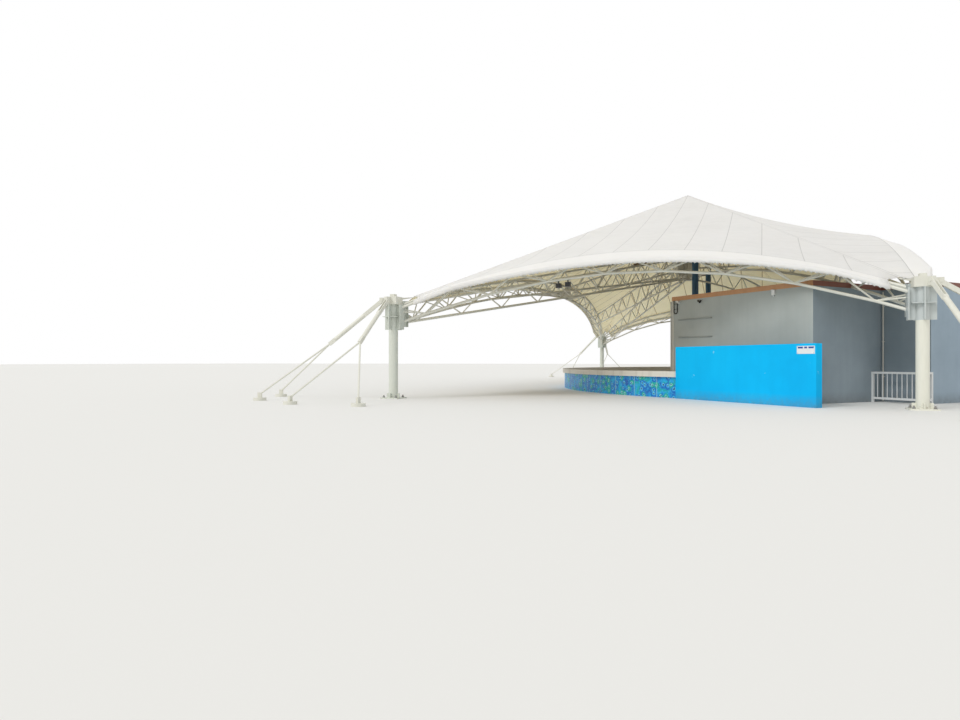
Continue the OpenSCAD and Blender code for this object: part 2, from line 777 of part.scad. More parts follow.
module stage_front() {
  outer_r = stage_r - stage_overhang;
  inner_r = outer_r - stage_wall_t;
  side = passage_corner + wall_dir * stage_wall_t;
  outer_end = stage_hit(passage_corner, -across, outer_r);
  inner_end = stage_hit(side, -across, inner_r);
  inner_arc = stage_arc(inner_r, inner_end, 48);
  color("teal") linear_extrude(height = stage_z - stage_t) polygon(concat(
    [plan(passage_corner)],
    stage_arc(outer_r, outer_end, 48),
    [plan(far(passage_corner)), plan(far(side))],
    [for (i = [len(inner_arc) - 1 : -1 : 0]) inner_arc[i]],
    [plan(side)]
  ));
}

module low_wall() {
  foot = stage_corner - wall_dir * low_wall_l;
  color("deepskyblue") linear_extrude(height = low_wall_h) polygon([
    plan(stage_corner), plan(stage_corner + across * low_wall_t),
    plan(foot + across * low_wall_t), plan(foot)
  ]);
}

// Fence of bars in front of the recess, from the end wall to the corner of the outer wall
fence_post = 40;
fence_bar = 16;
fence_bars = 9;

module fence_panel(a, b) {
  v = b - a;
  len = norm(v);
  translate(a) rotate([0, 0, heading(v)]) {
    for (z = [60, fence_h - fence_post]) translate([0, -fence_post / 2, z])
      cube([len, fence_post, fence_post]);
    count = round(fence_bars * len / recess_l);
    for (i = [1 : count]) translate([len * i / (count + 1), 0, 62])
      cylinder(d = fence_bar, h = fence_h - fence_post - 60, $fn = 6);
  }
}

module fence_leg(p) {
  translate(p) rotate([0, 0, heading(across)]) translate([-fence_post / 2, -fence_post / 2, 0])
    cube([fence_post, fence_post, fence_h]);
}

module nook_fence() {
  start = nook_corner - across * fence_gap - wall_dir * (fence_post / 2 + seat_gap / 2);
  turn = outer_corner - across * fence_gap - wall_dir * fence_post / 2;
  end = outer_corner - across * (fence_post / 2 + seat_gap / 2) - wall_dir * fence_post / 2;
  color("white") union() {
    fence_leg(start);
    fence_leg(turn);
    fence_leg(end);
    fence_panel(start, turn);
    fence_panel(turn, end);
  }
}

module mirrored() {
  mirror([0, 1, 0]) children();
}

mast(front_mast);  // mast_front_near
mirrored() mast(front_mast);  // mast_front_far
mast(rear_mast);  // mast_rear_near
mirrored() mast(rear_mast);  // mast_rear_far
mast_head(front_mast, [side_stay, front_stay]);  // mast_head_front_near
mirrored() mast_head(front_mast, [side_stay, front_stay]);  // mast_head_front_far
mast_head(rear_mast, [quarter_stay, rear_stay]);  // mast_head_rear_near
mirrored() mast_head(rear_mast, [quarter_stay, rear_stay]);  // mast_head_rear_far
stays_front();  // stays_front_near
mirrored() stays_front();  // stays_front_far
stays_rear();  // stays_rear_near
mirrored() stays_rear();  // stays_rear_far
side_arch();  // side_arch_near
mirrored() side_arch();  // side_arch_far
front_arch_half();  // front_arch_near
mirrored() front_arch_half();  // front_arch_far
rear_arch_half();  // rear_arch_near
mirrored() rear_arch_half();  // rear_arch_far
diagonal_truss(front_mast);  // diagonal_truss_front_near
mirrored() diagonal_truss(front_mast);  // diagonal_truss_front_far
diagonal_truss(rear_mast);  // diagonal_truss_rear_near
mirrored() diagonal_truss(rear_mast);  // diagonal_truss_rear_far
spine(front_crown, -1);  // spine_front
spine(rear_crown, 1);  // spine_rear
king_post();
column();  // column_near
mirrored() column();  // column_far
union() { column_tie(); mirrored() column_tie(); }  // column_ties
canopy_side();  // canopy_near
mirrored() canopy_side();  // canopy_far
canopy_front();
canopy_rear();
flood_lights();
stage_floor();
stage_front();
low_wall();  // low_wall_near
mirrored() low_wall();  // low_wall_far
wall(0, "lightgray");  // wing_wall_near
wall(1, "lightgray");  // side_wall_near
wall(2, "slategray");  // end_wall_near
wall(3, "slategray");  // recess_wall_near
wall(4, "lightsteelblue");  // outer_wall_near
wall(5, "lightsteelblue");  // rear_wall
wall(6, "lightsteelblue");  // outer_wall_far
wall(7, "slategray");  // recess_wall_far
wall(8, "slategray");  // end_wall_far
wall(9, "lightgray");  // side_wall_far
wall(10, "lightgray");  // wing_wall_far
wall(11, "lightgray");  // back_wall
roof_slab();
fascia();
coping();
union() { nook_fence(); mirrored() nook_fence(); }  // nook_fences
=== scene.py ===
"""Looks of a bandstand with a stretched membrane canopy, a 1:2 scale model in metres.

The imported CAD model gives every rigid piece. This script adds the canopy as one sheet, the lacing
along its edges, the small fittings on the stage house, and a material for every surface.
"""

import functools
import math
import bmesh
import bpy
from bpy.props import FloatProperty, FloatVectorProperty, PointerProperty
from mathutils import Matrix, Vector


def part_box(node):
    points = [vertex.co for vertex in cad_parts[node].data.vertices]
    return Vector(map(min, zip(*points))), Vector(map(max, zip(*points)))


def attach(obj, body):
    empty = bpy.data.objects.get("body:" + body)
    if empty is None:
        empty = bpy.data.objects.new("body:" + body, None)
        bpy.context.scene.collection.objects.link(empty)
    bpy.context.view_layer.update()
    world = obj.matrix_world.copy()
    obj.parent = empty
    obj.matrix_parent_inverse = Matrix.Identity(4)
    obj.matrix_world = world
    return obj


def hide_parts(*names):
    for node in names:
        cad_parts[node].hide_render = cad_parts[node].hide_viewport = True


bl_info = {
    "name": "Bandstand",
    "version": (1, 0, 0),
    "blender": (4, 5, 0),
    "location": "View3D > Sidebar > Bandstand",
    "description": "Dresses a bandstand with a membrane canopy",
    "category": "Object",
}

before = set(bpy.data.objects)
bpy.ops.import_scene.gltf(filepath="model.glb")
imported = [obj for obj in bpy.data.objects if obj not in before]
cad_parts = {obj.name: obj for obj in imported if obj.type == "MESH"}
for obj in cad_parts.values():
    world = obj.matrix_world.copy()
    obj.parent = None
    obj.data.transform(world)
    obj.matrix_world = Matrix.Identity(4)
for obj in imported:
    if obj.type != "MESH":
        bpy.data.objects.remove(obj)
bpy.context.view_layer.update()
for node_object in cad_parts.values():
    node_object.select_set(False)

UP = Vector((0, 0, 1))

# The circle that the mosaic wall under the stage follows, its panels, and the top of the slab's edge
STAGE_CENTRE_X = 5.226
STAGE_WALL_R = 9.04
PANEL_START = 0.33
PANEL_WIDTH = 0.72
SLAB_TOP_Z = 0.5845

# Where the fins of a mast start, and the thickness of a column's base plate
FIN_Z = 1.485
BASE_T = 0.02

# The masts, which are the corners of the canopy
FRONT_NEAR, REAR_NEAR, REAR_FAR, FRONT_FAR = "front_near", "rear_near", "rear_far", "front_far"


@functools.lru_cache(maxsize=None)
def mast_axis(corner):
    """The plan place of a mast's axis, from the outer edges of its base plate."""
    plate_low, plate_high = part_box("mast_" + corner)
    sign_x = -1 if corner.startswith("front") else 1
    sign_y = -1 if corner.endswith("near") else 1
    half_base = bpy.context.scene.bandstand_canopy.base_width / 2
    x = plate_low.x + half_base if sign_x < 0 else plate_high.x - half_base
    y = plate_low.y + half_base if sign_y < 0 else plate_high.y - half_base
    return Vector((x, y, 0))


def srgb(hex_code):
    """A colour for a shader from its sRGB hex value."""
    channels = [int(hex_code[i:i + 2], 16) / 255 for i in (1, 3, 5)]
    linear = [c / 12.92 if c <= 0.04045 else ((c + 0.055) / 1.055) ** 2.4 for c in channels]
    return (*linear, 1.0)


def add(tree, kind, settings=None, **links):
    """One node with its settings and the sockets or values that go into it."""
    node = tree.nodes.new(kind)
    for key, value in (settings or {}).items():
        setattr(node, key, value)
    for key, value in links.items():
        numbered = key[0] == "i" and key[1:].isdigit()
        socket = node.inputs[int(key[1:]) if numbered else key.replace("_", " ")]
        if isinstance(value, bpy.types.NodeSocket):
            tree.links.new(value, socket)
        else:
            socket.default_value = value
    return node


def ramp(tree, fac, stops):
    """A colour ramp through (place, hex) stops."""
    node = add(tree, "ShaderNodeValToRGB", i0=fac)
    elements = node.color_ramp.elements
    while len(elements) < len(stops):
        elements.new(0.5)
    for element, (place, colour) in zip(elements, stops):
        element.position = place
        element.color = srgb(colour)
    return node.outputs["Color"]


def surface(name, roughness):
    """A new material, its tree, its shader and its object coordinates."""
    material = bpy.data.materials.new(name)
    material.use_nodes = True
    tree = material.node_tree
    shader = tree.nodes["Principled BSDF"]
    shader.inputs["Roughness"].default_value = roughness
    place = add(tree, "ShaderNodeTexCoord").outputs["Object"]
    return material, tree, shader, place


def bumped(tree, shader, height, distance, strength):
    """Bump from a height, with its depth in metres."""
    bump = add(tree, "ShaderNodeBump", i0=strength, i1=distance, Height=height)
    tree.links.new(bump.outputs["Normal"], shader.inputs["Normal"])


def noise(tree, place, size, detail=4.0, roughness=0.55):
    """Noise whose blotches measure about size metres."""
    return add(tree, "ShaderNodeTexNoise", Vector=place, Scale=1 / size, Detail=detail,
               Roughness=roughness).outputs["Fac"]


def streaks(tree, place, scale, detail):
    """Noise drawn out by the scale of its coordinates."""
    stretched = add(tree, "ShaderNodeMapping", Vector=place, Scale=scale).outputs[0]
    return add(tree, "ShaderNodeTexNoise", Vector=stretched, Scale=1.0, Detail=detail).outputs[0]


def mixed(tree, fac, a, b):
    """Two colours mixed."""
    node = add(tree, "ShaderNodeMix", {"data_type": "RGBA"}, i0=fac)
    for index, value in ((6, a), (7, b)):
        if isinstance(value, bpy.types.NodeSocket):
            tree.links.new(value, node.inputs[index])
        else:
            node.inputs[index].default_value = srgb(value)
    return node.outputs[2]


def maths(tree, operation, a, b=None, c=None):
    """One arithmetic step."""
    node = add(tree, "ShaderNodeMath", {"operation": operation})
    for socket, value in zip(node.inputs, (a, b, c)):
        if isinstance(value, bpy.types.NodeSocket):
            tree.links.new(value, socket)
        elif value is not None:
            socket.default_value = value
    return node.outputs[0]


def painted_steel(name, base, stain, roughness=0.45):
    """Shop-painted steel: even colour, faint chalking and rain streaks."""
    material, tree, shader, place = surface(name, roughness)
    blotch = noise(tree, place, 0.35)
    streak = streaks(tree, place, (24, 24, 2.5), 3.0)
    amount = maths(tree, "MULTIPLY", maths(tree, "MULTIPLY", blotch, streak), 0.9)
    tree.links.new(mixed(tree, amount, base, stain), shader.inputs["Base Color"])
    bumped(tree, shader, noise(tree, place, 0.012), 0.0006, 0.4)
    return material


def mast_paint(name, pipe, shaded_fins):
    """Gloss paint on a mast: cream on the pipe, and on the fin plates at its top a cooler grey that is
    painted shade.
    """
    material, tree, shader, place = surface(name, 0.4)
    height = add(tree, "ShaderNodeSeparateXYZ", Vector=place).outputs[2]
    # Above FIN_Z the colour turns to the fin grey, which is painted shade and not a second paint.
    paint_and_fin_shade = mixed(tree, maths(tree, "GREATER_THAN", height, FIN_Z), pipe, shaded_fins)
    streak = streaks(tree, place, (24, 24, 2.5), 3.0)
    paint_and_fin_shade = mixed(tree, maths(tree, "MULTIPLY", streak, 0.3), paint_and_fin_shade, "#AFAC9A")
    foot = add(tree, "ShaderNodeMapRange", Value=height, From_Min=0.1, From_Max=0.0,
               To_Min=0.0, To_Max=0.8).outputs[0]
    spots = maths(tree, "GREATER_THAN", noise(tree, place, 0.035, 6.0, 0.7), 0.6)
    rust = maths(tree, "MULTIPLY", foot, spots)
    tree.links.new(mixed(tree, rust, paint_and_fin_shade, "#7C5336"), shader.inputs["Base Color"])
    bumped(tree, shader, noise(tree, place, 0.012), 0.0006, 0.4)
    return material


def rendered_wall(name, base, light, dark, grain=0.012, flakes=None):
    """Painted cement render: float marks, fine grit, rain marks, and chipped spots where it has flakes."""
    material, tree, shader, place = surface(name, 0.85)
    shader.inputs["Specular IOR Level"].default_value = 0.2
    cloud = noise(tree, place, 1.3, 5.0)
    fine = noise(tree, place, grain, 3.0)
    colour = ramp(tree, cloud, ((0.3, dark), (0.5, base), (0.72, light)))
    streak = streaks(tree, place, (9, 9, 0.7), 4.0)
    streak = maths(tree, "MULTIPLY", maths(tree, "SUBTRACT", streak, 0.45), 0.9)
    colour = mixed(tree, streak, colour, dark)
    foot = add(tree, "ShaderNodeMapRange", Value=add(tree, "ShaderNodeSeparateXYZ", Vector=place).outputs[2],
               From_Min=0.22, From_Max=0.0, To_Min=0.0, To_Max=0.7).outputs[0]
    colour = mixed(tree, maths(tree, "MULTIPLY", foot, noise(tree, place, 0.09, 5.0)), colour, "#6A665E")
    if flakes:
        chips = noise(tree, place, 0.16, 7.0, 0.62)
        chips = maths(tree, "MULTIPLY", chips, noise(tree, place, 0.8, 2.0))
        patch = maths(tree, "GREATER_THAN", chips, 0.425)
        colour = mixed(tree, maths(tree, "MULTIPLY", patch, 0.6), colour, flakes)
    tree.links.new(colour, shader.inputs["Base Color"])
    bumped(tree, shader, fine, 0.0015, 0.5)
    return material


def mosaic_tile(name):
    """Glazed mosaic in panels: small chips that draw rings and swirls in blues, teal and green."""
    material, tree, shader, place = surface(name, 0.4)
    shader.inputs["Specular IOR Level"].default_value = 0.3
    split = add(tree, "ShaderNodeSeparateXYZ", Vector=place)
    behind = maths(tree, "SUBTRACT", STAGE_CENTRE_X, split.outputs[0])
    turn = maths(tree, "ARCTAN2", split.outputs[1], behind)
    squares = maths(tree, "MULTIPLY_ADD", behind, behind, maths(tree, "POWER", split.outputs[1], 2.0))
    arc = maths(tree, "MULTIPLY_ADD", turn, STAGE_WALL_R, maths(tree, "SQRT", squares))
    face = add(tree, "ShaderNodeCombineXYZ", X=arc, Y=split.outputs[2]).outputs[0]
    flat = {"voronoi_dimensions": "2D", "feature": "F1"}
    chips = add(tree, "ShaderNodeTexVoronoi", flat, Vector=face, Scale=1 / 0.014, Randomness=0.6)
    joint = add(tree, "ShaderNodeTexVoronoi", {"voronoi_dimensions": "2D", "feature": "DISTANCE_TO_EDGE"},
                Vector=face, Scale=1 / 0.014, Randomness=0.6)
    drawing = chips.outputs["Position"]
    drift = add(tree, "ShaderNodeVectorMath", {"operation": "SCALE"}, i0=add(
        tree, "ShaderNodeTexNoise", Vector=drawing, Scale=4.0, Detail=1.0).outputs["Color"], Scale=0.1)
    warped = add(tree, "ShaderNodeVectorMath", {"operation": "ADD"}, i0=drawing,
                 i1=drift.outputs[0]).outputs[0]
    rings = add(tree, "ShaderNodeTexVoronoi", flat, Vector=warped, Scale=1 / 0.135, Randomness=0.9)
    chance = add(tree, "ShaderNodeSeparateColor", Color=rings.outputs["Color"])
    jitter = add(tree, "ShaderNodeSeparateColor", Color=chips.outputs["Color"]).outputs[0]
    reach = maths(tree, "ADD", rings.outputs["Distance"], maths(tree, "MULTIPLY", jitter, 0.06))
    blue = ramp(tree, reach, ((0.0, "#0636A0"), (0.17, "#06226C"), (0.21, "#8FE8F6"), (0.31, "#10B4F0"),
                              (0.42, "#0078D8"), (0.6, "#0060C4"), (0.8, "#00A4DC")))
    green = ramp(tree, reach, ((0.0, "#062F7C"), (0.15, "#0B4A9C"), (0.2, "#B4F0E4"), (0.3, "#18C8A8"),
                               (0.45, "#00A48C"), (0.62, "#00B0C4"), (0.8, "#0090D4")))
    colour = mixed(tree, maths(tree, "GREATER_THAN", chance.outputs[0], 0.68), blue, green)
    field = ramp(tree, noise(tree, warped, 0.3, 2.0),
                 ((0.34, "#0058B8"), (0.45, "#0092E0"), (0.53, "#16B6EC"), (0.6, "#00B2B4"),
                  (0.7, "#0A86DC")))
    plain = maths(tree, "LESS_THAN", chance.outputs[1], 0.28)
    colour = mixed(tree, plain, colour, field)
    darker = maths(tree, "MULTIPLY", maths(tree, "SUBTRACT", 0.5, jitter), 0.5)
    colour = mixed(tree, darker, colour, "#003C80")
    paler = maths(tree, "MULTIPLY", maths(tree, "SUBTRACT", jitter, 0.75), 0.9)
    colour = mixed(tree, paler, colour, "#9FE6F4")
    panel = maths(tree, "FRACT", maths(
        tree, "DIVIDE", maths(tree, "SUBTRACT", arc, PANEL_START), PANEL_WIDTH))
    gap = maths(tree, "LESS_THAN", joint.outputs["Distance"], 0.05)
    colour = mixed(tree, maths(tree, "MULTIPLY", gap, 0.5), colour, "#4C8CA4")
    seam = maths(tree, "MULTIPLY", maths(tree, "LESS_THAN", panel, 0.018), 0.8)
    colour = mixed(tree, seam, colour, "#A7CFD6")
    tree.links.new(colour, shader.inputs["Base Color"])
    bumped(tree, shader, joint.outputs["Distance"], 0.002, 0.5)
    return material


def trowelled_concrete(name):
    """Trowelled concrete: grey-beige with soft clouds and fine grit, and painted shade on the slab's top
    face.
    """
    material, tree, shader, place = surface(name, 0.8)
    cloud = noise(tree, place, 1.8, 6.0)
    colour = ramp(tree, cloud, ((0.3, "#D2CEC4"), (0.55, "#DEDAD0"), (0.8, "#E8E4DA")))
    drips = streaks(tree, place, (7, 7, 0.8), 5.0)
    drips = maths(tree, "MULTIPLY", maths(tree, "SUBTRACT", drips, 0.5), 1.1)
    colour = mixed(tree, drips, colour, "#8D867B")
    # Painted shade: the top face, above SLAB_TOP_Z, is darkened against the slab's edge.
    top = maths(tree, "GREATER_THAN", add(tree, "ShaderNodeSeparateXYZ", Vector=place).outputs[2],
                SLAB_TOP_Z)
    colour = mixed(tree, maths(tree, "MULTIPLY", top, 0.55), colour, "#77746B")
    tree.links.new(colour, shader.inputs["Base Color"])
    bumped(tree, shader, noise(tree, place, 0.01), 0.001, 0.4)
    return material


def coated_fabric(name, base, shade, edge, seam, sheen, glow, half_weld):
    """Coated polyester that lets some light through: cloudy dirt, welded seams, hem and ridge seams. Each
    side gets its own colours, and those given for the underside are painted light and shade.
    """
    material, tree, shader, place = surface(name, 0.55)
    uv = add(tree, "ShaderNodeUVMap", {"uv_map": "strips"}).outputs[0]
    along = add(tree, "ShaderNodeSeparateXYZ", Vector=uv)
    cell = maths(tree, "FRACT", along.outputs[0])
    weld = maths(tree, "ABSOLUTE", maths(tree, "SUBTRACT", cell, 0.5))
    weld = maths(tree, "LESS_THAN", weld, half_weld)
    weld = maths(tree, "MULTIPLY", weld, maths(tree, "GREATER_THAN", along.outputs[1], 0.0))
    hem = maths(tree, "LESS_THAN", maths(tree, "ABSOLUTE", along.outputs[1]), 0.009)
    reach = add(tree, "ShaderNodeSeparateXYZ", Vector=add(
        tree, "ShaderNodeUVMap", {"uv_map": "ridges"}).outputs[0]).outputs[1]
    ridge = maths(tree, "LESS_THAN", maths(tree, "ABSOLUTE", maths(tree, "SUBTRACT", reach, 0.045)), 0.008)
    line = maths(tree, "MAXIMUM", maths(tree, "MAXIMUM", weld, hem), ridge)
    cloud = noise(tree, place, 1.6, 5.0)
    grime = noise(tree, place, 0.22, 6.0, 0.7)
    dirt = maths(tree, "MULTIPLY", maths(tree, "MULTIPLY", cloud, grime), 1.6)
    body = mixed(tree, dirt, base, shade)
    valance = maths(tree, "MULTIPLY", maths(tree, "LESS_THAN", along.outputs[1], 0.0), 0.6)
    body = mixed(tree, valance, body, edge)
    # Seam, hem and ridge lines take the seam colour; on the underside that dark brown is painted shade of
    # doubled fabric seen against the light.
    colour = mixed(tree, maths(tree, "MULTIPLY", line, 0.75), body, seam)
    tree.links.new(colour, shader.inputs["Base Color"])
    shader.inputs["Sheen Weight"].default_value = sheen
    shader.inputs["Subsurface Weight"].default_value = glow
    shader.inputs["Subsurface Radius"].default_value = (1.0, 0.93, 0.75)
    shader.inputs["Subsurface Scale"].default_value = 0.03
    bumped(tree, shader, line, 0.003, 0.5)
    return material


class BandstandCanopy(bpy.types.PropertyGroup):
    """Sizes of the canopy and its lacing."""

    base_width: FloatProperty(name="Base plate width", description="Width of a mast's base plate",
                              default=0.42, unit="LENGTH")
    apex_z: FloatProperty(name="Peak", description="Height of the canopy's peak", default=6.25, unit="LENGTH")
    ridge_z: FloatProperty(name="Ridge end", description="Height of the ridges above the mast axes",
                           default=2.05, unit="LENGTH")
    thickness: FloatProperty(name="Thickness", description="Thickness of the shown sheet", default=0.004,
                             unit="LENGTH")
    strip_width: FloatProperty(name="Strip width", description="Width of one strip of fabric along an arch",
                               default=0.745, unit="LENGTH")
    sag: FloatProperty(name="Sag", description="Sag as a share of the distance from arch to ridge",
                       default=0.015)
    lace_pitch: FloatProperty(name="Lace pitch", description="Distance between laces", default=0.085,
                              unit="LENGTH")
    edge_drop: FloatProperty(name="Edge drop", description="Drop of the edge below the outer chord",
                             default=0.095, unit="LENGTH")
    scallop: FloatProperty(name="Scallop", description="Depth of the scallops in the edge", default=0.026,
                           unit="LENGTH")
    lace_radius: FloatProperty(name="Lace radius", description="Radius of the lacing rope", default=0.0026,
                               unit="LENGTH")


class BandstandStage(bpy.types.PropertyGroup):
    """The camera's place, turn, lens and shift."""

    camera_place: FloatVectorProperty(name="Camera", description="Place of the camera",
                                      default=(2.2535, -22.7255, 0.8), subtype="XYZ", unit="LENGTH")
    camera_turn: FloatProperty(name="Turn", description="Turn of the view from +Y towards -X",
                               default=math.radians(23.03), subtype="ANGLE")
    lens: FloatProperty(name="Lens", description="Focal length on a 36 mm wide sensor, in millimetres",
                        default=24.94)
    shift: FloatProperty(name="Shift", description="Upward shift of the frame as a share of its width",
                         default=0.0016)


# Sizes of the arches in the CAD model
SEAT_Z = 1.59
TRUSS_DEPTH = 0.41
TRUSS_WIDTH = 0.33
OUTER_DROP = 0.19
CHORD_R = 0.029
INNER_OFFSET = 0.025
END_DEPTH = 0.37
END_WIDTH = 0.06
END_OUTER_DROP = 0.075
CAD_LIFT = 0.0085
CORNER_CUT = 0.45
RIDGE_CUT = 0.56

# The grid of the sheet along one arch and from it to the ridge, and the fabric beyond the masts' axes
COLUMNS = 64
CUT_COLUMNS = 4
RIDGE_STEPS = 18

# A lace: its hole above the edge, and the middle of the rope round the outer chord
HOLE_LIFT = 0.012
WRAP_R = 0.0325

# Each arch: the masts it runs between, its rise, its inward lean, its number of bays, and how far
# outside its outer top chord the edge of the canopy hangs
ARCHES = {
    "near": (FRONT_NEAR, REAR_NEAR, 1.14, 1.65, 8, 0.07),
    "rear": (REAR_NEAR, REAR_FAR, 2.235, 0.0, 16, 0.045),
    "far": (REAR_FAR, FRONT_FAR, 1.14, 1.65, 8, 0.07),
    "front": (FRONT_FAR, FRONT_NEAR, 1.405, 1.05, 16, 0.048),
}

# Corners of the stage house and of the low wall beside the stage, and the directions of their walls
SIDE_CORNER = Vector((3.12, -8.85, 0))
WALL_DIR = Vector((-0.7627, 0.6468, 0)).normalized()
ACROSS = Vector((WALL_DIR.y, -WALL_DIR.x, 0))
STAGE_CORNER = Vector((0.51255, -7.78417, 0))


def share(s):
    """Rise of an arch at s from 0 to 1, as a share of its full rise."""
    return 4 * s * (1 - s)


@functools.lru_cache(maxsize=None)
def arch_frame(arch):
    """The ends of an arch, its inward direction, its rise, its lean and its number of bays."""
    first, last, rise, lean, bays = ARCHES[arch][:5]
    a, b = mast_axis(first), mast_axis(last)
    inward = (b - a).normalized()
    inward = Vector((-inward.y, inward.x, 0))
    if inward.dot(-a) < 0:
        inward = -inward
    return a, b, inward, rise, lean, bays


def chord_points(arch, s):
    """The middles of the bottom, inner top and outer top chord at s, with the inward direction and the
    lift from a chord's middle to the sheet."""
    a, b, inward, rise, lean, bays = arch_frame(arch)
    low = a.lerp(b, s) + inward * lean * share(s) + UP * (SEAT_Z + rise * share(s))
    open_share = min(1.0, bays * min(s, 1 - s))
    inner = low + inward * INNER_OFFSET * open_share \
        + UP * (END_DEPTH + (TRUSS_DEPTH - END_DEPTH) * open_share)
    width = END_WIDTH + (TRUSS_WIDTH - END_WIDTH) * open_share
    depth = END_DEPTH - END_OUTER_DROP
    depth += (TRUSS_DEPTH - 0.02 - depth) * open_share
    outer = low - inward * width + UP * (depth - OUTER_DROP * share(s))
    slope = rise * 4 * (1 - 2 * s) / (b - a).length
    lift = UP * (CHORD_R * math.sqrt(1 + slope * slope) + CAD_LIFT)
    return low, inner, outer, inward, lift


def canopy_edge(arch, s, canopy):
    """The lowest point of the canopy's edge at s: a tooth at each lace hole and a scallop between them."""
    outer, inward = chord_points(arch, s)[2:4]
    tooth = (s * lace_count(arch, canopy)) % 1
    return outer - inward * ARCHES[arch][5] - UP * (canopy.edge_drop - canopy.scallop * share(tooth))


def lace_count(arch, canopy):
    """How many laces hold the edge along a whole arch."""
    a, b = arch_frame(arch)[:2]
    return round((b - a).length / canopy.lace_pitch)


def canopy_column(arch, s, canopy):
    """Points of the sheet from beside the outer chord, over both top chords, to the ridge, each with its
    distances from the inner chord and from the ridge."""
    a, b = arch_frame(arch)[:2]
    length = (b - a).length
    inner, outer, inward, lift = chord_points(arch, s)[1:]
    mast = a if s <= 0.5 else b
    near_end = min(s, 1 - s)
    cut = CORNER_CUT / length
    first_column = CUT_COLUMNS / COLUMNS
    ridge_start = RIDGE_CUT / mast.length
    if near_end <= first_column:
        t = (near_end - cut) / (first_column - cut)
        ridge_share = ridge_start + (first_column * 2 - ridge_start) * t
    else:
        ridge_share = near_end * 2
    top = (mast + UP * canopy.ridge_z).lerp(UP * canopy.apex_z, ridge_share)
    overhang = ARCHES[arch][5]
    width = (outer - inner).length
    points = [outer - inward * overhang - UP * 0.012, outer - inward * (overhang * 0.8) + lift * 0.72,
              outer + lift, outer.lerp(inner, 0.5) + lift * 0.9, inner + lift]
    heights = [-width - 0.09, -width - 0.045, -width, -width / 2, 0.0]
    span = (top - points[-1]).length
    rows = [(point, height, span - height) for point, height in zip(points, heights)]
    start = points[-1]
    for i in range(1, RIDGE_STEPS + 1):
        w = i / RIDGE_STEPS
        rows.append((start.lerp(top, w) - UP * canopy.sag * span * share(w), span * w, span * (1 - w)))
    return rows


def link(name, mesh):
    """A new object for a mesh, in the scene."""
    piece = bpy.data.objects.new(name, mesh)
    bpy.context.scene.collection.objects.link(piece)
    return piece


def deselect():
    """Clears the selection."""
    for other in bpy.context.selected_objects:
        other.select_set(False)


def activate(piece):
    """Selects one piece alone."""
    deselect()
    piece.select_set(True)
    bpy.context.view_layer.objects.active = piece


class BANDSTAND_OT_canopy(bpy.types.Operator):
    """Stretches the canopy as one sheet over the four arches and the king post"""

    bl_idname = "bandstand.canopy"
    bl_label = "Canopy"

    def execute(self, context):
        canopy = context.scene.bandstand_canopy
        shape = bmesh.new()
        strips_layer = shape.loops.layers.uv.new("strips")
        ridge_layer = shape.loops.layers.uv.new("ridges")
        for arch in ARCHES:
            a, b = arch_frame(arch)[:2]
            cut = CORNER_CUT / (b - a).length
            shares = [i / COLUMNS for i in range(CUT_COLUMNS, COLUMNS - CUT_COLUMNS + 1)]
            shares = [cut] + shares + [1 - cut]
            axis = 0 if arch in ("near", "far") else 1

            def corner(point, height, reach):
                strip = point[axis] / canopy.strip_width + 0.5
                return shape.verts.new(point), (strip, height), (strip, reach)

            def face(ring):
                made = shape.faces.new([item[0] for item in ring])
                for loop, item in zip(made.loops, ring):
                    loop[strips_layer].uv = item[1]
                    loop[ridge_layer].uv = item[2]

            grid = [[corner(*row) for row in canopy_column(arch, s, canopy)] for s in shares]
            for left, right in zip(grid, grid[1:]):
                for j in range(len(left) - 1):
                    face((left[j], right[j], right[j + 1], left[j + 1]))
            edge_steps = 4 * lace_count(arch, canopy)
            teeth = {k / edge_steps for k in range(edge_steps) if cut < k / edge_steps < 1 - cut}
            edge_shares = sorted(set(shares) | teeth)
            edge_height = grid[0][0][1][1] - 0.08
            edge = {s: corner(canopy_edge(arch, s, canopy), edge_height, 9.0) for s in edge_shares}
            for column, (s0, s1) in enumerate(zip(shares, shares[1:])):
                inside = [edge[s] for s in edge_shares if s0 <= s <= s1]
                face([grid[column + 1][0], grid[column][0]] + inside)
        bmesh.ops.remove_doubles(shape, verts=shape.verts, dist=0.0005)
        bmesh.ops.recalc_face_normals(shape, faces=shape.faces)
        up_faces = sum(1 if face.normal.z > 0 else -1 for face in shape.faces)
        if up_faces < 0:
            bmesh.ops.reverse_faces(shape, faces=shape.faces)
        mesh = bpy.data.meshes.new("canopy_sheet")
        shape.to_mesh(mesh)
        shape.free()
        piece = link("canopy_sheet", mesh)
        top = coated_fabric("coated_fabric_top", "#E6E4E0", "#D3D1CC", "#F6F4EF", "#B2B0AC",
                            0.1, 0.3, 0.011)
        # Painted light on the underside: its warm cream stands for daylight shining through the fabric, and
        # its brown seam, hem and ridge lines are painted shade of doubled fabric seen against the light.
        under = coated_fabric("coated_fabric_underside_painted_light", "#FBE9C6", "#F0DBAE", "#FBE9C6", "#7B5F45",
                              0.0, 0.75, 0.02)
        mesh.materials.append(top)
        mesh.materials.append(under)
        for polygon in mesh.polygons:
            polygon.use_smooth = True
        activate(piece)
        shell = piece.modifiers.new("thickness", "SOLIDIFY")
        shell.thickness = canopy.thickness
        shell.offset = 0
        shell.material_offset = 1
        shell.material_offset_rim = 0
        bpy.ops.object.modifier_apply(modifier=shell.name)
        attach(piece, "root")
        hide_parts("canopy_near", "canopy_far", "canopy_front", "canopy_rear")
        return {"FINISHED"}


def rounded(width):
    """Rounds the edges of the active piece."""
    edges = bpy.context.active_object.modifiers.new("edges", "BEVEL")
    edges.width = width
    edges.segments = 2
    bpy.ops.object.modifier_apply(modifier=edges.name)


